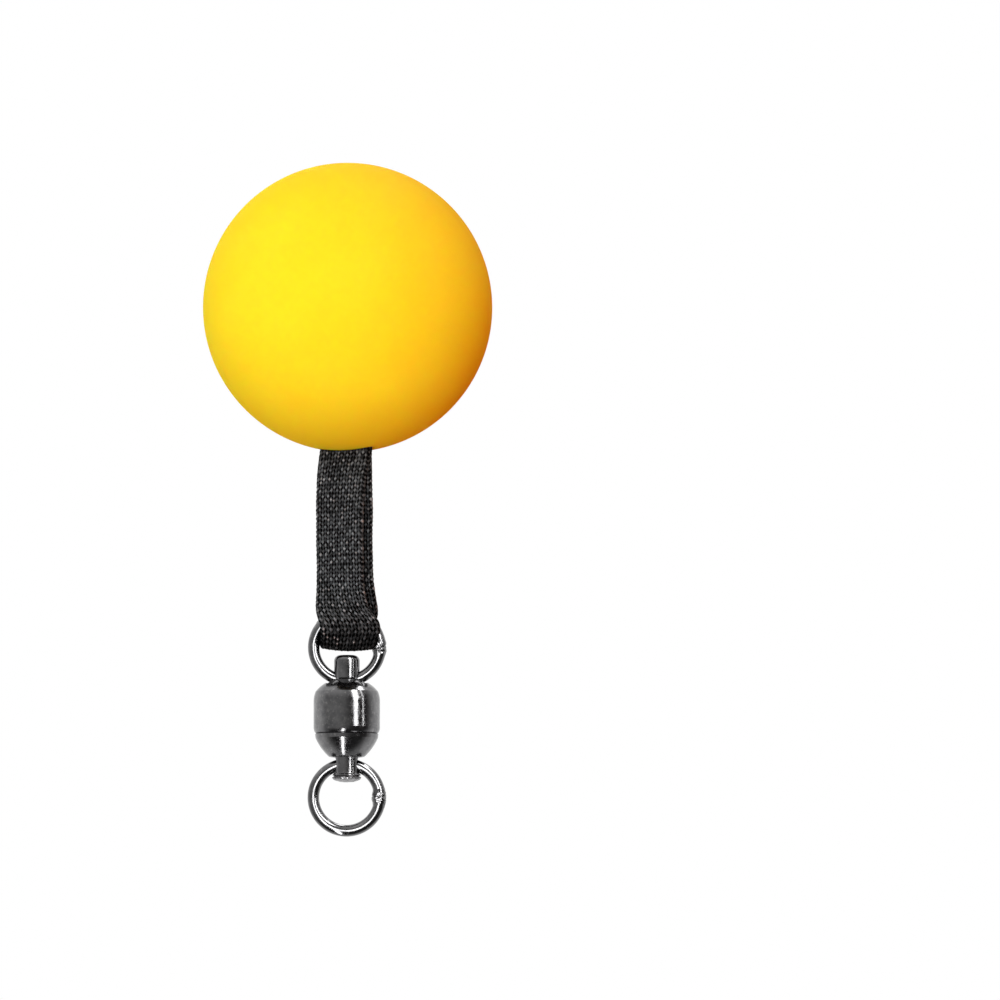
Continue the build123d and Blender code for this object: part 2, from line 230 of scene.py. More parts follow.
def add_node(tree, kind, inputs=None, **properties):
    """New node; an input is a socket to link or a value to set."""
    node = tree.nodes.new(kind)
    for key, value in properties.items():
        setattr(node, key, value)
    for key, value in (inputs or {}).items():
        if isinstance(value, bpy.types.NodeSocket):
            tree.links.new(value, node.inputs[key])
        else:
            node.inputs[key].default_value = value
    return node


class Nodes:
    """A material's node tree, with short calls for the nodes that the materials here share."""

    def __init__(self, name):
        self.material = bpy.data.materials.new(name)
        self.material.use_nodes = True
        self.tree = self.material.node_tree
        self.shader = self.tree.nodes["Principled BSDF"]

    def set(self, **values):
        for key, value in values.items():
            self.shader.inputs[key.replace("_", " ")].default_value = value

    def add(self, kind, inputs=None, **properties):
        return add_node(self.tree, kind, inputs, **properties)

    def link(self, socket, key):
        self.tree.links.new(socket, self.shader.inputs[key])

    def place(self):
        return self.add("ShaderNodeTexCoord").outputs["Object"]

    def attribute(self, name):
        return self.add("ShaderNodeAttribute", attribute_name=name).outputs["Fac"]

    def noise(self, scale, detail=2.0, where=None, roughness=0.5):
        inputs = {"Vector": where or self.place(), "Scale": scale, "Detail": detail, "Roughness": roughness}
        return self.add("ShaderNodeTexNoise", inputs).outputs["Fac"]

    def ramp(self, factor, stops):
        """Colour ramp; stops are (position, colour)."""
        node = self.add("ShaderNodeValToRGB", {"Fac": factor})
        elements = node.color_ramp.elements
        while len(elements) < len(stops):
            elements.new(0.5)
        for element, (position, colour) in zip(elements, stops):
            element.position = position
            element.color = (*colour, 1.0)
        return node.outputs["Color"]

    def math(self, operation, a, b, clamp=False):
        return self.add("ShaderNodeMath", {0: a, 1: b}, operation=operation, use_clamp=clamp).outputs[0]

    def remap(self, value, low, high, to_low, to_high):
        inputs = {"Value": value, "From Min": low, "From Max": high, "To Min": to_low, "To Max": to_high}
        return self.add("ShaderNodeMapRange", inputs).outputs["Result"]

    def mix(self, factor, a, b, blend="MIX"):
        node = self.add("ShaderNodeMix", data_type="RGBA", blend_type=blend)
        for index, value in ((0, factor), (6, a), (7, b)):
            if isinstance(value, bpy.types.NodeSocket):
                self.tree.links.new(value, node.inputs[index])
            else:
                node.inputs[index].default_value = value if index == 0 else (*value, 1.0)
        return node.outputs[2]

    def bump(self, height, distance, strength):
        node = self.add("ShaderNodeBump", {"Height": height, "Distance": distance, "Strength": strength})
        self.link(node.outputs["Normal"], "Normal")


# ---- Materials ------------------------------------------------------------------------------
def silicone():
    """Matt yellow silicone: faint mottling, a few specks in the surface, and fine mould texture."""
    n = Nodes("yellow_silicone")
    n.set(
        Subsurface_Weight=0.6,
        Subsurface_Radius=(1.0, 0.25, 0.04),
        Subsurface_Scale=0.009,
        Specular_IOR_Level=0.02,
    )
    mottle = n.noise(60.0, 3.0)
    colour = n.ramp(mottle, [(0.3, (0.915, 0.65, 0.016)), (0.7, (0.935, 0.68, 0.020))])
    cells = n.add("ShaderNodeTexVoronoi", {"Vector": n.place(), "Scale": 75.0, "Randomness": 1.0})
    spot = n.remap(cells.outputs["Distance"], 0.018, 0.03, 1.0, 0.0)
    chance = n.add("ShaderNodeSeparateColor", {0: cells.outputs["Color"]}).outputs[0]
    rare = n.math("GREATER_THAN", chance, 0.90)
    speck = n.math("MULTIPLY", spot, rare, clamp=True)
    n.link(n.mix(n.math("MULTIPLY", speck, 0.8), colour, (0.16, 0.10, 0.02)), "Base Color")
    fine = n.noise(2600.0, 2.0)
    coarse = n.noise(420.0, 2.0)
    height = n.math("ADD", n.math("MULTIPLY", fine, 0.4), n.math("MULTIPLY", coarse, 0.6))
    n.bump(height, 0.04 * MM, 0.5)
    n.link(n.remap(n.noise(160.0, 3.0), 0.3, 0.7, 0.70, 0.80), "Roughness")
    return n.material


def webbing_cloth():
    """Charcoal nylon webbing: painted shade in the pits between the yarns and painted light on their crowns,
    painted glints, and painted shade darkening it towards the bight.
    """
    n = Nodes("webbing_nylon")
    n.set(Specular_IOR_Level=0.04)
    relief, tone, glint, rubbed = (n.attribute(name) for name in ("relief", "yarn_tone", "glint", "rubbed"))
    # Colour follows the relief: painted shade in the pits between the yarns, painted light on the yarn crowns.
    pit, side, crown = (0.0005, 0.0005, 0.0005), (0.023, 0.0285, 0.0315), (0.073, 0.089, 0.098)
    base = n.ramp(relief, [(0.5, pit), (0.70, side), (1.0, crown)])
    level = n.remap(tone, 0.0, 1.0, 0.45, 1.75)
    fibres = n.noise(2500.0, 3.0, roughness=0.7)
    level = n.math("MULTIPLY", level, n.remap(fibres, 0.3, 0.7, 0.55, 1.45))
    # Painted shade: darker towards the bight, where the webbing turns under.
    level = n.math("MULTIPLY", level, n.remap(rubbed, 0.0, 1.0, 1.12, 0.34))
    grey = n.add("ShaderNodeCombineColor", {0: level, 1: level, 2: level}).outputs[0]
    yarns = n.mix(1.0, base, grey, "MULTIPLY")
    # Painted highlight: pale glints mixed into the colour.
    n.link(n.mix(n.math("MULTIPLY", glint, 0.9), yarns, (0.30, 0.30, 0.30)), "Base Color")
    n.link(n.remap(relief, 0.0, 1.0, 0.95, 0.5), "Roughness")
    n.bump(n.noise(7000.0, 3.0), 0.04 * MM, 0.6)
    return n.material


def black_nickel(name, light, roughness, turning_marks=False):
    """Polished black nickel: faint stains, pale worn patches scattered by noise, and turning marks or a fine
    grain.
    """
    n = Nodes(name)
    n.set(Metallic=1.0)
    stain = n.noise(500.0, 4.0, roughness=0.6)
    dark = tuple(light * c for c in (0.72, 0.72, 0.74))
    pale = tuple(light * c for c in (1.12, 1.11, 1.12))
    colour = n.ramp(stain, [(0.35, dark), (0.65, pale)])
    worn = n.remap(n.noise(1500.0, 5.0, roughness=0.75), 0.56, 0.66, 0.0, 0.6)
    n.link(n.mix(worn, colour, (0.42, 0.41, 0.40)), "Base Color")
    n.link(n.remap(n.noise(900.0, 4.0), 0.3, 0.7, roughness - 0.05, roughness + 0.09), "Roughness")
    if turning_marks:
        turned = n.add("ShaderNodeMapping", {"Vector": n.place(), "Scale": (0.05, 0.05, 1.0)}).outputs[0]
        height = n.noise(9000.0, 2.0, where=turned)
    else:
        height = n.noise(3500.0, 3.0)
    n.bump(height, 0.012 * MM, 0.5)
    return n.material


def bright_steel(name, tone, roughness):
    """Ground or polished steel, hidden inside, with fine grinding marks."""
    n = Nodes(name)
    n.set(Metallic=1.0)
    n.link(n.ramp(n.noise(700.0, 3.0), [(0.3, (tone * 0.85,) * 3), (0.7, (tone,) * 3)]), "Base Color")
    n.link(n.remap(n.noise(2500.0, 3.0), 0.3, 0.7, roughness - 0.05, roughness + 0.08), "Roughness")
    n.bump(n.noise(6000.0, 2.0), 0.01 * MM, 0.4)
    return n.material


def moulded_plastic():
    """Natural ABS of the hidden core, with flow marks and a fine moulded grain."""
    n = Nodes("core_abs")
    n.set(Specular_IOR_Level=0.4)
    flow = n.noise(90.0, 3.0)
    n.link(n.ramp(flow, [(0.3, (0.62, 0.60, 0.53)), (0.7, (0.70, 0.68, 0.61))]), "Base Color")
    n.link(n.remap(n.noise(600.0, 3.0), 0.3, 0.7, 0.42, 0.56), "Roughness")
    n.bump(n.noise(4000.0, 2.0), 0.02 * MM, 0.4)
    return n.material


def sewing_thread():
    """Bonded thread, twisted, for the hidden bar tacks."""
    n = Nodes("bonded_thread")
    n.set(Roughness=0.7, Sheen_Weight=0.2)
    inputs = {"Vector": n.place(), "Scale": 1800.0, "Distortion": 1.0}
    wave = n.add("ShaderNodeTexWave", inputs).outputs["Fac"]
    n.link(n.ramp(wave, [(0.2, (0.008, 0.008, 0.009)), (0.8, (0.04, 0.04, 0.042))]), "Base Color")
    n.bump(wave, 0.04 * MM, 0.6)
    return n.material


def floor_paint():
    """Pale paint that glows enough to stay white, with a faint mottle."""
    n = Nodes("pale_floor")
    n.set(Roughness=0.8, Specular_IOR_Level=0.1)
    n.set(Emission_Color=(1.0, 1.0, 1.0, 1.0), Emission_Strength=FLOOR_GLOW)
    n.link(n.ramp(n.noise(3.0), [(0.3, (0.15, 0.15, 0.15)), (0.7, (0.17, 0.17, 0.17))]), "Base Color")
    return n.material


# ---- Ball skin ------------------------------------------------------------------------------
def slot_outline(angles, grow=0.0):
    """Rounded rectangle of the slot, as (x, y) for each parameter angle."""
    power = 2 / SLOT_SQUARENESS
    cos, sin = np.cos(angles), np.sin(angles)
    x = (SLOT_HALF_LENGTH + grow) * np.sign(cos) * np.abs(cos) ** power
    y = (SLOT_HALF_WIDTH + grow) * np.sign(sin) * np.abs(sin) ** power
    return np.stack([x, y], 1)


def on_ball(flat, radius, ball_radius):
    """Wraps flat (x, y) round the ball's lowest point, at a distance from its centre."""
    distance = np.linalg.norm(flat, axis=1)
    angle = distance / ball_radius
    unit = flat / np.maximum(distance, 1e-12)[:, None]
    ring = np.sin(angle)[:, None] * unit
    return radius * np.column_stack([ring, -np.cos(angle)])


def skin_rows(ball_radius):
    """Rows of the skin's grid: down the outside, over the lip, up the slot's wall, and up the inside."""
    angles = np.linspace(0, 2 * math.pi, SKIN_COLUMNS, endpoint=False)
    circle = np.stack([np.cos(angles), np.sin(angles)], 1)
    far = math.pi * ball_radius
    outer_steps, collar_steps, lip_steps, wall_steps, inner_steps = 150, 16, 8, 6, 60
    rows = []
    for i in range(1, outer_steps):
        distance = far + (COLLAR_RADIUS - far) * i / outer_steps
        rows.append(on_ball(circle * distance, ball_radius, ball_radius))
    lip_outline = slot_outline(angles, SLOT_LIP)
    for i in range(collar_steps):
        t = i / collar_steps
        rows.append(on_ball(circle * COLLAR_RADIUS * (1 - t) + lip_outline * t, ball_radius, ball_radius))
    for i in range(lip_steps + 1):
        turn = i / lip_steps * math.pi / 2
        outline = slot_outline(angles, SLOT_LIP * (1 - math.sin(turn)))
        rows.append(on_ball(outline, ball_radius - SLOT_LIP * (1 - math.cos(turn)), ball_radius))
    wall = slot_outline(angles)
    for i in range(1, wall_steps + 1):
        depth = SLOT_LIP + (SKIN_THICKNESS - SLOT_LIP) * i / wall_steps
        rows.append(on_ball(wall, ball_radius - depth, ball_radius))
    wall_distance = np.linalg.norm(wall, axis=1)
    for i in range(1, inner_steps):
        t = i / inner_steps
        spread = smoothstep(t * 6)
        flat = wall * (1 - spread) + circle * (far * t) * spread
        distance = np.linalg.norm(flat, axis=1)
        reach = np.maximum(distance, wall_distance + i * INNER_ROW_GAP)
        flat = flat / distance[:, None] * reach[:, None]
        rows.append(on_ball(flat, ball_radius - SKIN_THICKNESS, ball_radius))
    return rows


def make_ball_skin(slot_turn):
    """Hollow skin in one closed surface, with its slot turned to face the webbing's flex axis."""
    ball_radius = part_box("ball_skin")[1].z
    rows = skin_rows(ball_radius)
    verts = np.concatenate(rows + [[(0, 0, ball_radius)], [(0, 0, ball_radius - SKIN_THICKNESS)]])
    faces = grid_faces(len(rows), SKIN_COLUMNS) + pole_faces(len(rows), SKIN_COLUMNS)
    cos, sin = math.cos(slot_turn), math.sin(slot_turn)
    verts = verts @ np.array([[cos, sin, 0], [-sin, cos, 0], [0, 0, 1]])
    skin = mesh_object("ball_skin_moulded", verts, faces)
    skin.data.materials.append(silicone())
    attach(skin, "ball")
    skin.visible_glossy = False
    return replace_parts(skin, "ball_skin")


# ---- Webbing --------------------------------------------------------------------------------
def spline(points, step):
    """Smooth closed curve through the points, resampled at even steps, and its length.

    The first two columns place each point, and any others are carried along.
    """
    pts = np.asarray(points, float)
    n = len(pts)
    t = np.linspace(0, 1, 40, endpoint=False)[:, None]
    pieces = []
    for i in range(n):
        a, b, c, d = (pts[(i + k - 1) % n] for k in range(4))
        square = (2 * a - 5 * b + 4 * c - d) * t**2
        cube = (3 * b - a - 3 * c + d) * t**3
        pieces.append(0.5 * (2 * b + (c - a) * t + square + cube))
    dense = np.concatenate(pieces + [pts[:1]])
    steps = np.linalg.norm(np.diff(dense[:, :2], axis=0), axis=1)
    length = np.concatenate([[0], np.cumsum(steps)])
    count = int(round(length[-1] / step))
    at = np.linspace(0, length[-1], count, endpoint=False)
    even = [np.interp(at, length, dense[:, k]) for k in range(dense.shape[1])]
    return np.stack(even, 1), length[-1]


def webbing_route(slot, flex_z, pin_z, ring_z, bight_z):
    """Stations of the loop, from the top of the pin down the front and up the back, and its length.

    Each is: distance from the middle of the loop, negative in front; height; turn about Z; drift along
    the width, opposite in the two plies; lean to the right of both; and share of the flat width.
    """
    half = WEB_TURN
    pinched = PINCHED_SHARE
    front = [
        (-PIN_TURN, pin_z, slot, 0.0, 0.0, pinched),
        (-1.45 * MM, pin_z - 3.2 * MM, slot, 0.0, 0.0, pinched),
        (-0.66 * MM, flex_z + 6.5 * MM, slot, 0.0, 0.0, pinched),
        (-0.62 * MM, flex_z + 3.0 * MM, slot, 0.0, -0.22 * MM, pinched),
        (-0.75 * MM, flex_z + 0.5 * MM, slot * 1.05, 0.0, -0.42 * MM, pinched + 0.01),
        (-1.20 * MM, flex_z - 4.0 * MM, half * 0.86, 0.0, -0.60 * MM, 0.97),
        (-1.50 * MM, flex_z - 9.5 * MM, half * 0.97, 0.0, -0.60 * MM, 1.0),
        (-1.55 * MM, flex_z - 15.0 * MM, half, 0.0, -0.58 * MM, 1.0),
        (-1.55 * MM, flex_z - 20.5 * MM, half * 0.99, 0.0, -0.50 * MM, 0.99),
        (-1.70 * MM, ring_z + 13.2 * MM, half * 0.94, 0.0, -0.35 * MM, 0.97),
        (-2.15 * MM, ring_z + 9.8 * MM, half * 0.74, 0.0, -0.20 * MM, 0.94),
        (-2.80 * MM, ring_z + 7.2 * MM, half * 0.42, 0.10 * MM, 0.0, 0.93),
        (-3.10 * MM, ring_z + 5.2 * MM, half * 0.12, 0.60 * MM, 0.05 * MM, 0.98),
        (-2.85 * MM, ring_z + 3.2 * MM, 0.0, 0.75 * MM, 0.05 * MM, 0.97),
        (-2.20 * MM, bight_z + 1.5 * MM, 0.0, 0.45 * MM, 0.05 * MM, 0.92),
        (-1.25 * MM, bight_z + 0.35 * MM, 0.0, 0.20 * MM, 0.05 * MM, 0.88),
    ]
    back = [(-y, z, turn, -drift, lean, width) for y, z, turn, drift, lean, width in reversed(front)]
    bottom = [(0.0, bight_z, 0.0, 0.0, 0.0, 0.86)]
    top = [(0.0, pin_z + PIN_TURN, slot, 0.0, 0.0, pinched)]
    return spline(top + front + bottom + back, GRID_ALONG)


def webbing_section():
    """Cross-section, counter-clockwise from the outer face, as places across and shares of the thickness."""
    half = 0.5 * WEB_THICKNESS
    face = np.linspace(-1, 1, GRID_ACROSS) * (WEB_WIDTH / 2 - half)
    turn = np.linspace(0, math.pi, EDGE_STEPS + 2)[1:-1]
    edge = WEB_WIDTH / 2 - half + half * np.sin(turn)
    ones = np.ones(GRID_ACROSS)
    across = np.concatenate([face, edge, face[::-1], -edge])
    share = np.concatenate([ones, np.cos(turn), -ones, -np.cos(turn)])
    return across, share


def scatter(a, b, seed, stretch):
    """A repeatable value from 0 to 1 for each pair of whole numbers."""
    return fraction(np.abs(np.sin(a + b + seed) * stretch))


def weave(across, along, face_seed):
    """Woven face at distances across and along it: height, each crossing's tone, and painted glints on some yarn
    crowns.
    """
    drift = np.sin(across / (1.9 * MM) + along / (3.1 * MM) + face_seed)
    drift += 0.7 * np.sin(along / (1.3 * MM) - across / (2.7 * MM) + 2 * face_seed)
    column = across / YARN_PITCH + 0.07 * drift
    yarn = np.floor(column)
    row = along / PICK_PITCH + 0.28 * np.mod(yarn, 2) + 0.09 * drift
    pick = np.floor(row)
    yarn_crown = np.sin(math.pi * fraction(column))
    pick_crown = np.sin(math.pi * fraction(row))
    tone = scatter(yarn * 12.9898, pick * 78.233, face_seed, 43758.5453)
    corner = scatter(np.round(column) * 39.425, np.round(row) * 11.135, face_seed, 24634.634)
    pit = ((1 - yarn_crown) * (1 - pick_crown)) ** 0.5 * (0.3 + 0.7 * corner)
    over = 0.5 + 0.5 * np.cos(math.pi * (yarn + pick))
    height = 0.72 - 0.72 * np.clip(2.8 * pit - 0.3, 0, 1) + 0.28 * yarn_crown * pick_crown * over
    # Painted highlight: small bright spots at the crowns of a few crossings.
    glint = (yarn_crown * pick_crown) ** 9 * (tone > 0.93)
    return height, tone, glint


def outward_of(across, height):
    """Unit normals of the closed side view of the route, pointing out of the loop."""
    tangent = np.stack([np.roll(line, -1) - np.roll(line, 1) for line in (across, height)], 1)
    tangent /= np.linalg.norm(tangent, axis=1)[:, None]
    outward = np.stack([tangent[:, 1], -tangent[:, 0]], 1)
    return outward * (np.sign(outward[0, 1]) or 1.0)


def make_webbing(slot_turn):
    """The whole webbing loop in one woven mesh, from the pin inside the ball to the ring and back."""
    flex_z = joints["strap_flex"]["pos_m"][2]
    ring_z = joints["ring_rock"]["pos_m"][2]
    pin_low, pin_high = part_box("anchor_pin")
    pin_z = (pin_low.z + pin_high.z) / 2
    bight_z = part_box("webbing_loop")[0].z + WEB_THICKNESS / 2 + BIGHT_RISE
    stations, length = webbing_route(slot_turn, flex_z, pin_z, ring_z, bight_z)
    rows = len(stations)
    across, height, twist, drift, lean, width = (column[:, None] for column in stations.T)
    outward = outward_of(across[:, 0], height[:, 0])

    section_x, section_n = webbing_section()
    columns = len(section_x)
    x = section_x[None, :] * np.ones((rows, 1))
    along = (np.arange(rows) * length / rows)[:, None] * np.ones((1, columns))
    face_seed = np.where(section_n > 0, 0.0, 5.0)[None, :]
    relief, tone, glint = weave(x + 20 * YARN_PITCH, along, face_seed)
    push = (relief - 0.6) * YARN_RELIEF * (np.abs(section_n) ** 0.5 * np.sign(section_n))[None, :]
    cup = EDGE_CUP * (x / (WEB_WIDTH / 2)) ** 2
    thick = section_n[None, :] * 0.5 * WEB_THICKNESS + push - cup

    sideways = x * width + drift
    local_y = across + outward[:, 0:1] * thick
    local_z = height + outward[:, 1:2] * thick
    sag = BIGHT_SAG * smoothstep((ring_z + SAG_TOP - height) / SAG_FADE)
    local_z = local_z - sag * (1 - ((sideways - SAG_MIDDLE) / (WEB_WIDTH / 2)) ** 2)
    world_x = sideways * np.cos(twist) - local_y * np.sin(twist) + lean
    world_y = sideways * np.sin(twist) + local_y * np.cos(twist)
    world = np.stack([world_x, world_y, local_z], 2)
    edge = world[:, 0]
    wobble = np.stack([value_noise(edge, LOOSE_WAVE, 3.1 + k) for k in range(3)], 1) * LOOSENESS
    loose = smoothstep((flex_z - edge[:, 2]) / LOOSE_FADE)[:, None]
    verts = (world + (wobble * loose)[:, None, :]).reshape(-1, 3)

    strap = mesh_object("webbing_woven", verts, grid_faces(rows, columns, joined_ends=True))
    # Painted shade: the webbing darkens towards the bight, where it turns under.
    rubbed = smoothstep((ring_z + BIGHT_SHADE_TOP - local_z) / BIGHT_SHADE_FADE)
    for name, values in (("relief", relief), ("yarn_tone", tone), ("glint", glint), ("rubbed", rubbed)):
        attribute = strap.data.attributes.new(name, "FLOAT", "POINT")
        attribute.data.foreach_set("value", np.ascontiguousarray(values, np.float32).ravel())
    strap.data.materials.append(webbing_cloth())
    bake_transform(strap)
    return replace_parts(strap, "webbing_loop", "webbing_anchor")


# ---- Rings ----------------------------------------------------------------------------------
def make_ring(node, material, seed):
    """Wire ring with its butt weld: a lumpy bead, heaviest on the inside, and a narrow seam."""
    low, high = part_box(node)
    centre = np.array((0, 0, (low.z + high.z) / 2))
    round_ring = np.linspace(-math.pi, math.pi, RING_ROWS, endpoint=False)[:, None]
    round_wire = np.linspace(0, 2 * math.pi, WIRE_COLUMNS, endpoint=False)[None, :]
    from_weld = round_ring * RING_RADIUS
    inside = np.clip(-np.cos(round_wire), 0, 1)
    bead = np.exp(-np.abs(from_weld / BEAD_HALF_LENGTH) ** 3)
    swell = bead * (BEAD_HEIGHT + BEAD_EXTRA_INSIDE * inside)
    from_seam = from_weld - SEAM_WANDER * np.sin(round_wire + seed)
    seam = np.exp(-((from_seam / SEAM_HALF_WIDTH) ** 2)) * SEAM_DEPTH
    radius = WIRE_RADIUS + swell - seam

    flat = np.zeros((RING_ROWS, WIRE_COLUMNS))
    cos, sin = np.cos(round_ring), np.sin(round_ring)
    axis = np.stack([RING_RADIUS * cos + flat, flat, RING_RADIUS * sin + flat], 2)
    spokes = np.stack([np.cos(round_wire) * cos, np.sin(round_wire) + flat, np.cos(round_wire) * sin], 2)
    points = (axis + radius[:, :, None] * spokes).reshape(-1, 3)
    lumps = value_noise(points, 0.55 * MM, seed) + 0.5 * value_noise(points, 0.25 * MM, seed + 9)
    rough = BEAD_LUMPS * (bead + flat).ravel() + WIRE_LUMPS
    points += spokes.reshape(-1, 3) * (lumps * rough)[:, None] + centre

    ring = mesh_object(node + "_welded", points, grid_faces(RING_ROWS, WIRE_COLUMNS, joined_ends=True))
    ring.data.materials.append(material)
    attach(ring, node)
    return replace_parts(ring, node)


# ---- Spindle --------------------------------------------------------------------------------
def arc_points(centre, radius, start, end, steps):
    """Points (r, z) along an arc; the angles are in degrees from the +r direction."""
    turns = np.radians(np.linspace(start, end, steps))
    return [(centre[0] + radius * math.cos(a), centre[1] + radius * math.sin(a)) for a in turns]


def lathe(name, profile, columns, axis="Z"):
    """Closed surface turned from (r, z) points that start and end on the axis."""
    turns = np.linspace(0, 2 * math.pi, columns, endpoint=False)
    r, z = np.array(profile[1:-1]).T
    x, y = np.outer(r, np.cos(turns)), np.outer(r, np.sin(turns))
    ring = np.stack([x, y, np.outer(z, np.ones(columns))], 2)
    verts = np.concatenate([ring.reshape(-1, 3), [(0, 0, profile[0][1])], [(0, 0, profile[-1][1])]])
    if axis == "X":
        verts = verts[:, [2, 0, 1]]
    return mesh_object(name, verts, grid_faces(len(r), columns) + pole_faces(len(r), columns))


def cut_cross_hole(obj, z):
    """Cuts the wire's hole, which opens out at both mouths, through a post."""
    curve = RING_RADIUS - WIRE_RADIUS - HOLE_CLEARANCE
    across = np.linspace(-HOLE_REACH, HOLE_REACH, 41)
    flare = RING_RADIUS - np.sqrt(curve**2 - across**2)
    profile = [(0.0, -HOLE_REACH), *zip(flare, across), (0.0, HOLE_REACH)]
    cutter = lathe("hole_cutter", profile, 64, axis="X")
    cutter.location.z = z
    modifier = obj.modifiers.new("hole", "BOOLEAN")
    modifier.object = cutter
    modifier.operation = "DIFFERENCE"
    modifier.solver = "MANIFOLD"
    bpy.context.view_layer.update()
    cut = bpy.data.meshes.new_from_object(obj.evaluated_get(bpy.context.evaluated_depsgraph_get()))
    cut.materials.clear()
    obj.modifiers.clear()
    obj.data = cut
    bpy.data.objects.remove(cutter)
    cut.set_sharp_from_angle(angle=math.radians(35))


def spindle_profile(low, high, hole_z, rim_z):
    """Points (r, z) from the spindle's top to the hammered end: collar with ball grooves, post and dome."""
    upper_ball, lower_ball = (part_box(f"{row}_bearing_ball_01") for row in ("upper", "lower"))
    upper_z, lower_z = ((ball[0].z + ball[1].z) / 2 for ball in (upper_ball, lower_ball))
    pitch = (upper_ball[0].x + upper_ball[1].x) / 2
    groove = (upper_ball[1].z - upper_ball[0].z) / 2 + GROOVE_CLEARANCE
    dip = math.degrees(math.asin(COLLAR_GAP / groove))
    collar_top = upper_z - COLLAR_GAP
    collar_bottom = lower_z + COLLAR_GAP
    profile = [(0.0, high.z), (1.3 * MM, high.z), (TOP_RADIUS, high.z - 0.3 * MM), (TOP_RADIUS, collar_top)]
    profile += arc_points((pitch, upper_z), groove, 180 + dip, 360 - dip, 9)
    profile += [(high.x, collar_top), (high.x, collar_bottom)]
    profile += arc_points((pitch, lower_z), groove, dip, 180 - dip, 9)
    profile += [(POST_RADIUS, collar_bottom), (POST_RADIUS, hole_z + 2.2 * MM)]
    profile += [(POST_RADIUS, z) for z in np.linspace(hole_z + 2.0 * MM, rim_z + 0.75 * MM, 16)]
    lip = POST_RADIUS + PEEN_LIP
    for t in np.linspace(0.1, 1.0, 8):
        profile.append((POST_RADIUS + PEEN_LIP * smoothstep(t), rim_z + (0.75 - 0.45 * t) * MM))
    for t in np.linspace(0.08, 0.92, 9):
        profile.append((lip - PEEN_UNDERCUT * math.sin(math.pi * t), rim_z + (0.3 - 0.4 * t) * MM))
    dome_rise = rim_z - 0.1 * MM - low.z
    for t in np.linspace(0.0, 0.48, 26) * math.pi:
        profile.append((lip * math.cos(t), low.z + dome_rise * (1 - math.sin(t))))
    profile.append((0.0, low.z))
    return profile


def hammer_end(spindle, rim_z, end_z):
    """Makes the spindle's end lumpy and dented, without letting it reach below its lowest point."""
    vertices = spindle.data.vertices
    points = np.empty(len(vertices) * 3)
    vertices.foreach_get("co", points)
    points = points.reshape(-1, 3)
    ragged = smoothstep((rim_z + 0.25 * MM - points[:, 2]) / (0.5 * MM))
    lumps = value_noise(points, 0.7 * MM, 5.0) + 0.6 * value_noise(points, 0.28 * MM, 8.0)
    radial = points * (1.0, 1.0, 0.0)
    reach = np.maximum(np.linalg.norm(radial, axis=1), 0.2 * MM)[:, None]
    points += radial / reach * (lumps * ragged)[:, None] * PEEN_ROUGHNESS
    points[:, 2] += value_noise(points, 0.5 * MM, 2.0) * ragged * DENT_HEIGHT
    points[:, 2] = np.maximum(points[:, 2], end_z)
    vertices.foreach_set("co", points.ravel())


def make_spindle(plated, peened):
    """Collar between the bearing rows, post with its cross hole, and the ragged end hammered over."""
    low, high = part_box("spindle")
    hole_z = joints["lower_ring_swing"]["pos_m"][2]
    rim_z = low.z + PEEN_HEIGHT
    spindle = lathe("spindle_peened", spindle_profile(low, high, hole_z, rim_z), LATHE_COLUMNS)
    hammer_end(spindle, rim_z, low.z)
    cut_cross_hole(spindle, hole_z)
    spindle.data.materials.append(plated)
    spindle.data.materials.append(peened)
    for face in spindle.data.polygons:
        face.use_smooth = True
        face.material_index = int(face.center.z < rim_z + 0.15 * MM)
    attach(spindle, "spindle")
    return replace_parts(spindle, "spindle")


# ---- CAD nodes that stay --------------------------------------------------------------------
def finish_cad_nodes(plated):
    """Materials for the pieces whose CAD shape is right."""
    ground = bright_steel("ground_steel", 0.6, 0.3)
    by_slot = {
        "swivel_black_nickel": plated,
        "core_plastic": moulded_plastic(),
        "pin_steel": ground,
        "screw_steel": bright_steel("zinc_screw", 0.55, 0.35),
        "race_steel": ground,
        "bearing_steel": bright_steel("bearing_steel", 0.75, 0.12),
        "thread": sewing_thread(),
    }
    slots = {s["node"]: s["material_slot"] for s in frame["record"]["subparts"]}
    for node, obj in frame["nodes"].items():
        material = by_slot.get(slots[node])
        if material is not None:
            obj.data.materials.clear()
            obj.data.materials.append(material)


# ---- Stage ----------------------------------------------------------------------------------
def area_light(name, size, radiance, azimuth, elevation, distance, target):
    """Rectangular light in a direction from its target, which the camera doesn't see."""
    light = bpy.data.lights.new(name, "AREA")
    light.shape = "RECTANGLE"
    light.size, light.size_y = size
    light.energy = radiance * math.pi * size[0] * size[1]
    obj = bpy.data.objects.new(name, light)
    turn, rise = math.radians(azimuth), math.radians(elevation)
    level = math.cos(rise)
    away = Vector((math.sin(turn) * level, -math.cos(turn) * level, math.sin(rise)))
    obj.location = Vector(target) + away * distance
    obj.rotation_euler = away.to_track_quat("Z", "Y").to_euler()
    obj.visible_camera = False
    bpy.context.scene.collection.objects.link(obj)
    return obj


def make_lights(rings):
    """Soft lights that don't show in gloss, lights that show only there, and a panel only for the rings."""
    for name, settings in SOFT_LIGHTS.items():
        area_light(name, *settings).visible_glossy = False
    for name, settings in REFLECTED_LIGHTS.items():
        area_light(name, *settings).visible_diffuse = False
    panel = area_light("front_panel", *RING_PANEL)
    panel.visible_diffuse = False
    lit_rings = bpy.data.collections.new("lit_by_front_panel")
    for ring in rings:
        lit_rings.objects.link(ring)
    panel.light_linking.receiver_collection = lit_rings


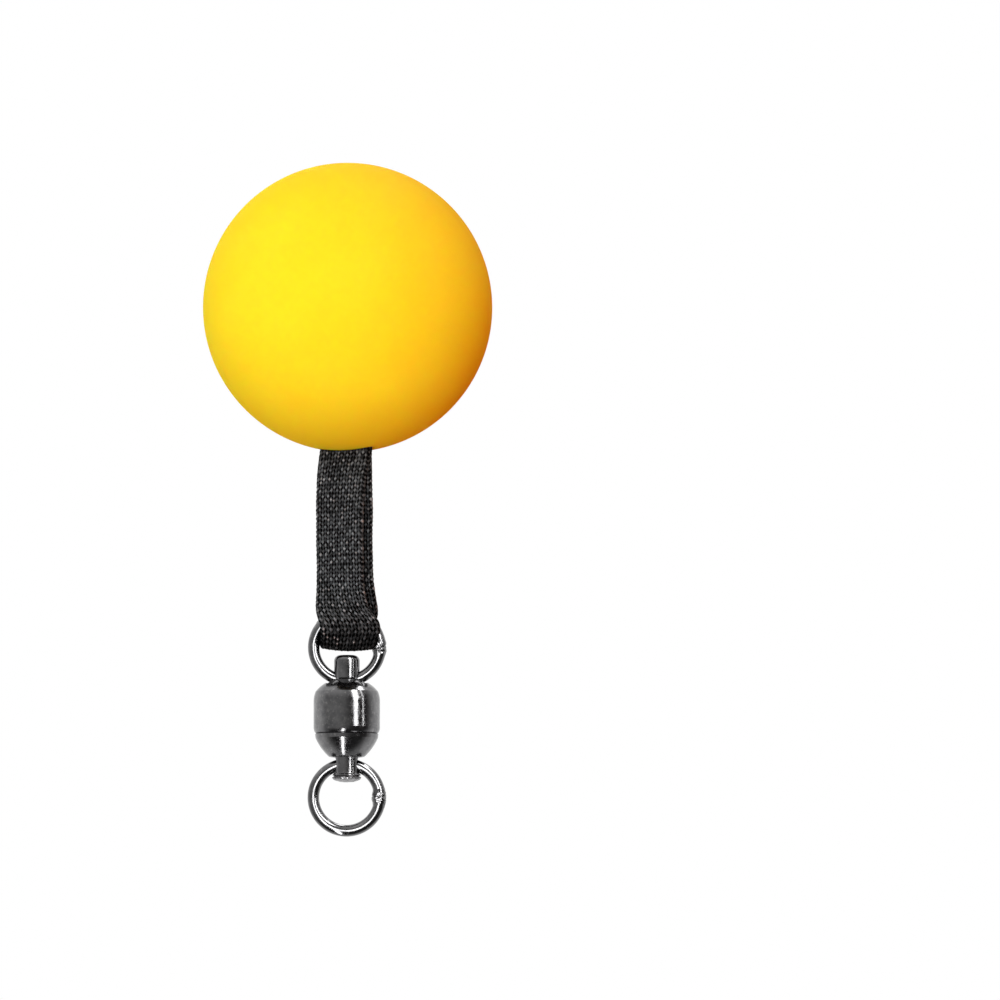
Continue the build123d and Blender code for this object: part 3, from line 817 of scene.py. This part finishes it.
def make_world():
    """White to the camera; to the object, pale on the left and behind, and dark on the right in front."""
    world = bpy.data.worlds.new("studio")
    world.use_nodes = True
    bpy.context.scene.world = world
    tree = world.node_tree
    tree.nodes.clear()

    def add(kind, inputs=None, **properties):
        return add_node(tree, kind, inputs, **properties).outputs

    def ramp(value, start, end, at_start, at_end):
        inputs = {"Value": value, "From Min": start, "From Max": end, "To Min": at_start, "To Max": at_end}
        return add("ShaderNodeMapRange", inputs, interpolation_type="SMOOTHSTEP")[0]

    def blend(factor, a, b):
        return add("ShaderNodeMix", {0: factor, 2: a, 3: b})[0]

    def background(level, colour=(1.0, 1.0, 1.0)):
        return add("ShaderNodeBackground", {"Color": (*colour, 1.0), "Strength": level})[0]

    def choose(factor, first, second):
        return add("ShaderNodeMixShader", {0: factor, 1: first, 2: second})[0]

    direction = add("ShaderNodeTexCoord")["Generated"]
    x, y, z = add("ShaderNodeSeparateXYZ", {0: direction})
    behind = ramp(y, -0.35, 0.45, 0.0, 1.0)
    sides = ramp(x, -0.5, 0.55, REFLECTED_LEFT, REFLECTED_RIGHT)
    front = blend(ramp(z, -0.7, -0.15, 0.0, 1.0), REFLECTED_BELOW, sides)
    above = ramp(z, 0.2, 0.9, 0.0, REFLECTED_ABOVE)
    front = add("ShaderNodeMath", {0: front, 1: above}, operation="ADD")[0]
    reflected = blend(behind, front, REFLECTED_BEHIND)
    toward_fill = add("ShaderNodeVectorMath", {0: direction, 1: FILL_SIDE}, operation="DOT_PRODUCT")["Value"]
    bounce = background(BOUNCE_LEVEL, BOUNCE_COLOUR)
    fill = choose(ramp(toward_fill, -0.2, 0.9, 0.0, 1.0), bounce, background(FILL_LEVEL))
    rays = add("ShaderNodeLightPath")
    lit = choose(rays["Is Glossy Ray"], fill, background(reflected))
    add("ShaderNodeOutputWorld", {"Surface": choose(rays["Is Camera Ray"], lit, background(1.0))})


def make_floor():
    turn = np.linspace(0, 2 * math.pi, 96, endpoint=False)
    level = np.full(len(turn), FLOOR_Z)
    rim = np.stack([FLOOR_RADIUS * np.cos(turn), FLOOR_RADIUS * np.sin(turn), level], 1)
    floor = mesh_object("floor", rim, [range(len(turn))])
    floor.data.materials.append(floor_paint())
    floor.visible_glossy = False
    floor.visible_diffuse = False


def make_camera():
    data = bpy.data.cameras.new("camera")
    data.sensor_width = SENSOR_WIDTH
    data.lens = SENSOR_WIDTH * CAMERA_DISTANCE / PICTURE_WIDTH
    data.clip_end = 50.0
    camera = bpy.data.objects.new("camera", data)
    back = Vector((0, -math.cos(CAMERA_ELEVATION), math.sin(CAMERA_ELEVATION)))
    camera.location = PICTURE_AIM + back * CAMERA_DISTANCE
    camera.rotation_euler = (-back).to_track_quat("-Z", "Y").to_euler()
    bpy.context.scene.collection.objects.link(camera)
    bpy.context.scene.camera = camera


# ---- Everything -----------------------------------------------------------------------------
def main():
    axis = joints["strap_flex"]["axis"]
    slot_turn = math.atan2(axis[1], axis[0])
    make_camera()
    make_world()
    make_floor()
    bpy.context.scene.view_settings.view_transform = "Standard"
    bpy.context.scene.view_settings.look = "None"
    make_ball_skin(slot_turn)
    make_webbing(slot_turn)
    wire = black_nickel("ring_plate", 0.2, 0.10)
    rings = [make_ring(node, wire, seed) for node, seed in (("upper_ring", 1.0), ("lower_ring", 4.0))]
    plated = black_nickel("swivel_plate", 0.2, 0.14, turning_marks=True)
    make_spindle(plated, black_nickel("peened_end", 0.33, 0.32))
    finish_cad_nodes(plated)
    make_lights(rings)


main()
